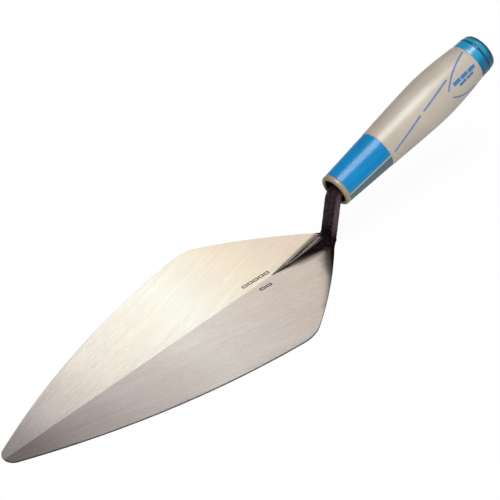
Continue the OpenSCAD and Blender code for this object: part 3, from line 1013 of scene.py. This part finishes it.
def ground_steel():
    """Brushed steel with dark forging scale, painted shade round the tongue, the root and the
    +Y back edge, and painted reflection that differs between its two halves.
    """
    material, net, shader = new_material("ground_steel")
    point = net.point_mm()
    x, y, z = net.split(point)
    out = net.math("ABSOLUTE", y)
    side = net.math("GREATER_THAN", y, 0.0)           # 1 on the +Y half
    # grinding marks run 15 degrees off the X axis, mirrored on the two halves
    cos, sin = math.cos(math.radians(15)), math.sin(math.radians(15))
    along = net.sub(net.mul(x, cos), net.mul(out, sin))
    across = net.add(net.mul(x, sin), net.mul(out, cos))
    across = net.add(across, net.mul(side, 57.3))     # another pattern on the +Y half
    brushed = net.combine(net.mul(along, 0.080), across, net.mul(z, 0.4))
    broad = net.combine(net.mul(along, 0.022), net.mul(across, 0.35), 0.0)
    fine_lines = net.noise(brushed, scale=4.6)
    coarse_lines = net.noise(brushed, scale=1.7, detail=2.0, rough=0.5)
    bands = net.noise(broad, scale=0.9)
    cloud = net.noise(point, scale=0.02, rough=0.5)
    grain = net.noise(point, scale=1.3, rough=0.6)
    streak = net.add(net.mul(fine_lines, 0.45), net.mul(coarse_lines, 0.55))
    tone = net.add(net.mul(streak, 0.5), net.mul(bands, 0.5))

    # painted reflection: colour of each half from heel to toe, the -Y half lighter and the +Y
    # half darker towards the toe
    to_toe = net.remap(x, (0.0, 260.0))
    minus_half_reflection = net.ramp(to_toe, [
        (0.0, (0.423, 0.359, 0.312)), (0.12, (0.464, 0.404, 0.342)),
        (0.22, (0.536, 0.478, 0.397)), (0.42, (0.631, 0.647, 0.600)),
        (0.70, (0.691, 0.659, 0.616)), (0.90, (0.655, 0.604, 0.586)),
        (1.0, (0.561, 0.518, 0.531))])
    plus_half_reflection = net.ramp(to_toe, [
        (0.0, (0.411, 0.359, 0.320)), (0.22, (0.459, 0.402, 0.370)),
        (0.50, (0.614, 0.586, 0.562)), (0.75, (0.549, 0.490, 0.480)),
        (0.90, (0.442, 0.386, 0.389)), (1.0, (0.314, 0.272, 0.277))])
    shade = net.remap(tone, (0.32, 0.68), (0.90, 1.10))
    steel = net.mix(1.0, net.mix(side, minus_half_reflection, plus_half_reflection),
                    net.combine(shade, shade, shade), "MULTIPLY")
    # random clouds, also lighter on the -Y half and darker on the +Y half as painted
    # reflection
    steel = net.mix(net.remap(cloud, (0.35, 0.65), (0.0, 0.18)), steel,
                    net.mix(side, (0.66, 0.58, 0.46), (0.52, 0.44, 0.42)))
    # painted shade: the steel is darkened where the mask says, and along the very edge of the
    # outline
    painted_shade_and_rim = net.mul(net.mask("painted_shade_and_rim"), net.remap(grain, (0.3, 0.7), (0.85, 1.0)))
    steel = net.mix(painted_shade_and_rim, steel, net.mix(1.0, steel, (0.12, 0.12, 0.117), "MULTIPLY"))

    # scale: black oxide, reddish brown in places, thinning at its border
    patches = net.noise(point, scale=0.55, detail=5.0, rough=0.65)
    specks = net.noise(point, scale=2.2, detail=4.0, rough=0.6)
    border = net.add(net.mask("scale_mask"), net.mul(net.sub(patches, 0.5), 0.9))
    scaled = net.remap(border, (0.10, 0.78), smooth=True)
    high = net.remap(z, (9.0, 17.0))
    oxide = net.ramp(net.add(net.mul(high, 0.12), net.sub(patches, 0.05)), [
        (0.32, (0.0015, 0.0010, 0.0010)), (0.5, (0.008, 0.003, 0.004)),
        (0.62, (0.040, 0.014, 0.020)), (0.75, (0.095, 0.045, 0.056))])
    speckle = net.mul(net.remap(specks, (0.55, 0.75), (0.0, 0.40)),
                      net.add(0.06, net.mul(high, 0.75)))
    oxide = net.mix(speckle, oxide, (0.070, 0.036, 0.046))
    # painted reflection: lighter sides of the shank
    shank_side_reflection = net.mul(net.mask("shank_side_reflection"), net.remap(patches, (0.35, 0.6), (0.35, 1.0)))
    oxide = net.mix(shank_side_reflection, oxide, (0.105, 0.068, 0.076))
    dark = net.math("MAXIMUM", scaled, net.remap(net.mask("stamp"), (0.2, 0.8), (0.0, 0.95)))

    steel_rough = net.add(0.30, net.mul(net.sub(streak, 0.5), 0.30))
    oxide_rough = net.remap(specks, (0.3, 0.7), (0.34, 0.62))
    mirror = net.sub(1.0, net.mul(side, 2.0))         # +1 on the -Y half, -1 on the +Y half
    relief = net.bump(streak, strength=0.18, distance=0.00005)
    relief = net.bump(net.mul(specks, dark), strength=0.8, distance=0.00016, under=relief)
    relief = net.bump(grain, strength=0.08, distance=0.00005, under=relief)
    net.put(shader, {
        "Base Color": net.mix(dark, steel, oxide),
        "Metallic": net.mix_value(net.remap(dark, (0.55, 1.0)), 1.0, 0.0),
        "Specular IOR Level": net.mix_value(dark, 0.5, net.mix_value(high, 0.05, 0.26)),
        "Roughness": net.mix_value(dark, steel_rough, oxide_rough),
        "Anisotropic": net.mix_value(dark, 0.55, 0.0),
        "Tangent": net.combine(net.mul(mirror, -sin), cos, 0.0),
        "Normal": relief})
    return material


def core_blue():
    material, net, shader = new_material("core_blue")
    point, offset, dist = net.handle()
    angle = net.handle_angle(offset)
    blue = net.ramp(net.noise(point, scale=0.06, detail=3, rough=0.5), [
        (0.35, (0.000, 0.205, 0.485)), (0.65, (0.000, 0.250, 0.560))])
    # painted shade and reflection: the underside of the band, beyond the two ribs, is painted
    # a greyer teal
    rib = net.sub(math.radians(83.0), net.mul(dist, math.radians(0.19)))
    past_first = net.remap(net.sub(angle, rib), (-0.01, 0.01))
    past_second = net.remap(net.sub(net.add(angle, math.pi), rib), (0.01, -0.01))
    under = net.mul(net.math("MAXIMUM", past_first, past_second),
                    net.remap(dist, (BAND + 0.4, BAND + 0.1)))
    shaded_teal = net.mix(net.noise(point, scale=0.25, detail=4, rough=0.6),
                   (0.045, 0.115, 0.16), (0.10, 0.165, 0.165))
    blue = net.mix(under, blue, shaded_teal)
    # raised lines in the grip
    blue = net.mix(net.remap(dist, (BAND + 0.2, BAND + 0.8)), blue, (0.135, 0.215, 0.435))
    grime = net.noise(point, scale=0.5, detail=5, rough=0.6)
    blue = net.mix(net.remap(grime, (0.62, 0.8), (0.0, 0.25)), blue, (0.03, 0.09, 0.22))
    scratches = net.noise(net.combine(net.mul(dist, 0.25), net.mul(angle, 14.0), 0.0),
                          scale=1.6, detail=4, rough=0.65)
    ripple = net.noise(point, scale=1.5, detail=2, rough=0.5)
    net.put(shader, {
        "Base Color": blue,
        "Roughness": net.remap(scratches, (0.3, 0.75), (0.19, 0.32)),
        "Specular IOR Level": 0.5,
        "Normal": net.bump(net.add(ripple, net.mul(scratches, 0.4)),
                           strength=0.10, distance=0.00008)})
    return material


def grip_beige():
    material, net, shader = new_material("grip_beige")
    point, _, dist = net.handle()
    beige = net.ramp(net.noise(point, scale=0.045, detail=4), [
        (0.3, (0.468, 0.405, 0.337)), (0.7, (0.528, 0.467, 0.392))])
    specks = net.noise(point, scale=1.1, detail=5, rough=0.7)
    beige = net.mix(net.remap(specks, (0.60, 0.78), (0.0, 0.22)), beige, (0.29, 0.24, 0.19))
    # a little handling dirt near the joints with the band and the cap
    patches = net.noise(point, scale=0.35, detail=5, rough=0.65)
    joints = net.math("MAXIMUM", net.remap(dist, (BAND + 3.5, BAND), smooth=True),
                      net.remap(dist, (GRIP - 4.0, GRIP), smooth=True))
    dirt = net.mul(joints, net.remap(patches, (0.4, 0.7), (0.0, 0.35)))
    beige = net.mix(dirt, beige, (0.30, 0.25, 0.19))
    # the rolled lip and the two ribs look darker and greyer
    beige = net.mix(net.remap(dist, (LIP + 0.4, LIP + 0.1)), beige,
                    net.mix(1.0, beige, (0.72, 0.63, 0.47), "MULTIPLY"))
    ribs = net.mul(net.remap(dist, (LIP + 0.4, LIP + 0.9)),
                   net.remap(dist, (BAND - 0.1, BAND - 0.5)))
    beige = net.mix(ribs, beige, (0.27, 0.40, 0.43))
    cells = net.make("ShaderNodeTexVoronoi", {"Vector": point, "Scale": 2.4}, "Distance",
                     feature="F1", distance="EUCLIDEAN")
    grain = net.noise(point, scale=3.5, detail=3, rough=0.6)
    net.put(shader, {
        "Base Color": beige,
        "Roughness": net.remap(patches, (0.3, 0.7), (0.27, 0.36)),
        "Specular IOR Level": 0.8,
        "Normal": net.bump(net.add(net.mul(cells, 0.7), net.mul(grain, 0.6)),
                           strength=0.18, distance=0.00010)})
    return material


def cap_blue():
    """Slightly translucent blue, in bands along the cap, with painted shade in the dark bands
    over the groove and the rounded back.
    """
    material, net, shader = new_material("cap_blue")
    point, offset, dist = net.handle()
    angle = net.handle_angle(offset)
    swirl = net.noise(point, scale=0.12, detail=4, rough=0.6, distort=0.6)
    wobble = net.add(net.sub(dist, GRIP), net.mul(net.sub(swirl, 0.5), 1.2))
    # painted shade: the bands go dark over the groove and over the rounded back
    bands = net.ramp(net.remap(wobble, (0.0, CAP)), [
        (0.0, (0.000, 0.34, 0.62)), (0.38, (0.000, 0.37, 0.64)),
        (0.43, (0.000, 0.055, 0.21)), (0.52, (0.000, 0.06, 0.23)),
        (0.54, (0.000, 0.34, 0.50)), (0.70, (0.000, 0.36, 0.52)),
        (0.76, (0.000, 0.10, 0.20)), (0.86, (0.000, 0.05, 0.11)),
        (1.0, (0.000, 0.09, 0.19))])
    blue = net.mix(net.remap(swirl, (0.3, 0.7), (0.0, 0.25)), bands, (0.000, 0.16, 0.34))
    # painted shade: darker and duller away from the top side
    from_top = net.math("ABSOLUTE", net.sub(angle, 0.1))
    shade = net.remap(from_top, (0.62, 1.25), smooth=True)
    blue = net.mix(net.mul(shade, net.remap(swirl, (0.35, 0.6), (0.55, 1.0))), blue,
                   (0.002, 0.075, 0.165))
    scuffs = net.noise(net.combine(net.mul(dist, 2.5), net.mul(angle, 3.0), 0.0),
                       scale=1.2, detail=4, rough=0.6)
    dents = net.mul(net.noise(point, scale=0.6, detail=4, rough=0.6),
                    net.remap(dist, (GRIP + 13.0, GRIP + 15.2)))
    net.put(shader, {
        "Base Color": blue,
        "Specular IOR Level": net.mix_value(shade, 1.0, 0.35),
        "Transmission Weight": 0.12,
        "Coat Weight": net.mix_value(shade, 0.8, 0.1),
        "Coat Roughness": 0.34,
        "IOR": 1.47,
        "Roughness": net.remap(scuffs, (0.3, 0.75), (0.14, 0.27)),
        "Normal": net.bump(net.add(net.mul(scuffs, 0.3), dents),
                           strength=0.16, distance=0.00012)})
    return material


def plain(name, noise, colors, rough, strength, distance):
    """One noise drives the colour, the roughness and the relief."""
    material, net, shader = new_material(name)
    lumps = net.noise(net.point_mm(), **noise)
    net.put(shader, {
        "Base Color": net.ramp(lumps, list(zip((0.3, 0.7), colors))),
        "Roughness": net.remap(lumps, (0.3, 0.7), rough),
        "Normal": net.bump(lumps, strength, distance)})
    return material


materials = [ground_steel(), core_blue(), grip_beige(), cap_blue(),
             plain("bond_black", noise=dict(scale=0.5, detail=5, rough=0.6),
                   colors=((0.004, 0.004, 0.004), (0.016, 0.015, 0.014)),
                   rough=(0.45, 0.8), strength=0.6, distance=0.0004),
             plain("mark_ink", noise=dict(scale=1.4, detail=5, rough=0.7),
                   colors=((0.035, 0.150, 0.370), (0.070, 0.220, 0.480)),
                   rough=(0.35, 0.55), strength=0.1, distance=0.00005)]
# object, CAD piece it replaces, material slot
PIECES = [(forging, "blade_forging", "blade_steel"), (core, "handle_core", "core_plastic"),
          (grip, "soft_grip", "grip_rubber"), (cap, "end_cap", "cap_plastic"),
          (bond, "tang_bond", "bond_epoxy"), (mark, None, "core_plastic")]
for (obj, piece, slot), material in zip(PIECES, materials):
    obj.data.materials.clear()
    obj.data.materials.append(material)
    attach(obj, "root")
    if piece:
        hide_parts(piece)

# ---------------------------------------------------------------- floor (metres from here)

scene = bpy.context.scene
FLOOR_HALF, FLOOR_Z = 6.0, -0.0002
floor_mesh = bpy.data.meshes.new("floor")
floor_mesh.from_pydata([(sx * FLOOR_HALF, sy * FLOOR_HALF, FLOOR_Z)
                        for sx, sy in ((-1, -1), (1, -1), (1, 1), (-1, 1))],
                       [], [(0, 1, 2, 3)])
floor = bpy.data.objects.new("floor", floor_mesh)
scene.collection.objects.link(floor)


def floor_pale():
    """Matt grey that looks nearly white to the camera."""
    material, net, shader = new_material("floor_pale")
    net.put(shader, {
        "Base Color": net.ramp(net.noise(net.coords(), scale=3.0, detail=2, rough=0.5), [
            (0.3, (0.60, 0.60, 0.60)), (0.7, (0.62, 0.62, 0.62))]),
        "Roughness": 0.9,
        "Specular IOR Level": 0.1})
    glow = net.make("ShaderNodeEmission", {"Strength": 1.05})
    surface = net.make("ShaderNodeMixShader", {
        0: net.mul(net.camera_ray(), 0.90), 1: shader.outputs[0], 2: glow})
    net.put(net.tree.nodes["Material Output"], {"Surface": surface})
    return material


floor_mesh.materials.append(floor_pale())

# ---------------------------------------------------------------- world


def direction(azimuth, elevation):
    turn, rise = math.radians(azimuth), math.radians(elevation)
    return (math.cos(rise) * math.cos(turn), math.cos(rise) * math.sin(turn),
            math.sin(rise))


SKY = (0.12, 0.36)                          # strength at the horizon and overhead
SEEN = 1.06                                 # strength seen by the camera
# a round patch of sky is dimmed by DIM, fully inside one angle and not at all outside
# the other
DIM_AT, DIM_IN, DIM_OUT, DIM = direction(azimuth=238.0, elevation=50.0), 12.0, 34.0, 0.55

world = bpy.data.worlds.new("studio")
scene.world = world
world.use_nodes = True
net = Net(world.node_tree)
ray = net.vector("NORMALIZE", net.coords("Generated"))
sky = net.remap(net.split(ray)[2], (0.0, 1.0), SKY)
dimmed = net.remap(net.vector("DOT_PRODUCT", ray, DIM_AT),
                   (math.cos(math.radians(DIM_OUT)), math.cos(math.radians(DIM_IN))),
                   (1.0, 1.0 - DIM), smooth=True)
net.put(world.node_tree.nodes["Background"], {
    "Strength": net.mix_value(net.camera_ray(), net.mul(sky, dimmed), SEEN),
    "Color": (1, 1, 1, 1)})

# ---------------------------------------------------------------- lights


def softbox(name, width, height, radiance, color=(1, 1, 1)):
    light = bpy.data.lights.new(name, "AREA")
    light.shape = "RECTANGLE"
    light.size, light.size_y = width, height
    light.energy = radiance * width * height * math.pi
    light.color = color
    light.spread = math.pi
    box = bpy.data.objects.new(name, light)
    scene.collection.objects.link(box)
    box.visible_camera = False
    return box


def aimed_softbox(name, azimuth, elevation, distance, width, height, radiance):
    """A softbox at a direction and distance from a point near the heel, facing it."""
    target = (0.03, 0.0, 0.02)
    box = softbox(name, width, height, radiance)
    towards = direction(azimuth, elevation)
    box.location = tuple(target[i] + distance * towards[i] for i in range(3))
    aim = Vector(target) - Vector(box.location)
    box.rotation_euler = aim.to_track_quat("-Z", "Y").to_euler()
    return box


def edged_softbox(name, azimuth, elevation, distance, left, right, low, high, radiance,
                  color):
    """A softbox given by its edges in its own plane, square to the direction."""
    facing = Vector(direction(azimuth, elevation))
    across = Vector((0, 0, 1)).cross(facing).normalized()
    up = facing.cross(across)
    box = softbox(name, right - left, high - low, radiance, color)
    matrix = Matrix((across, up, facing)).transposed().to_4x4()
    matrix.translation = (Vector((0.10, 0.0, 0.0)) + facing * distance
                          + across * (left + right) / 2 + up * (low + high) / 2)
    box.matrix_world = matrix
    return box


def receivers(name, *objects):
    collection = bpy.data.collections.new(name)
    for obj in objects:
        collection.objects.link(obj)
    return collection


far_light = edged_softbox("panel_far", azimuth=229.0, elevation=38.0, distance=0.62,
                          left=-0.27, right=0.195, low=-0.26, high=0.130, radiance=1.72,
                          color=(1.0, 0.975, 0.93))
only_steel = receivers("lit_by_panel_far", forging, bond)
far_light.light_linking.receiver_collection = only_steel
# the top softbox is mirrored by the handle only: on the steel it adds plain diffuse light,
# so the flat blade does not burn out when it is seen from above
TOP = dict(azimuth=125.0, elevation=86.0, distance=1.3, width=0.80, height=0.70, radiance=6.0)
top = aimed_softbox("top", **TOP)
top.light_linking.receiver_collection = receivers("lit_by_top", core, grip, cap, mark, floor)
top_steel = aimed_softbox("top_steel", **TOP)
top_steel.visible_glossy = False
top_steel.light_linking.receiver_collection = only_steel
fill = aimed_softbox("fill", azimuth=70.0, elevation=26.0, distance=2.2, width=2.0,
                     height=1.4, radiance=2.7)
fill.visible_glossy = False
# two more softboxes, so the steel has something bright to mirror from the other sides too
for name, azimuth in (("panel_left", 130.0), ("panel_back", 340.0)):
    box = aimed_softbox(name, azimuth, elevation=34.0, distance=1.0, width=0.9, height=0.55,
                        radiance=0.95)
    box.visible_diffuse = False
    box.light_linking.receiver_collection = only_steel

# ---------------------------------------------------------------- camera

camera_data = bpy.data.cameras.new("camera")
camera_data.sensor_width = 36.0
camera_data.lens = 245.376
camera_data.shift_x = -0.001
camera_data.clip_start, camera_data.clip_end = 0.05, 50
camera = bpy.data.objects.new("camera", camera_data)
scene.collection.objects.link(camera)
view = Matrix(((-0.71259394, 0.69982852, -0.04949675),        # right
               (-0.48106999, -0.43605405, 0.76054489),        # up
               (0.51066774, 0.56577108, 0.64739597)))         # towards the viewer
view = view.transposed().to_4x4()
view.translation = Vector((1.174368, 1.227881, 1.439582))
camera.matrix_world = view
scene.camera = camera
scene.view_settings.view_transform = "Standard"
scene.view_settings.look = "None"
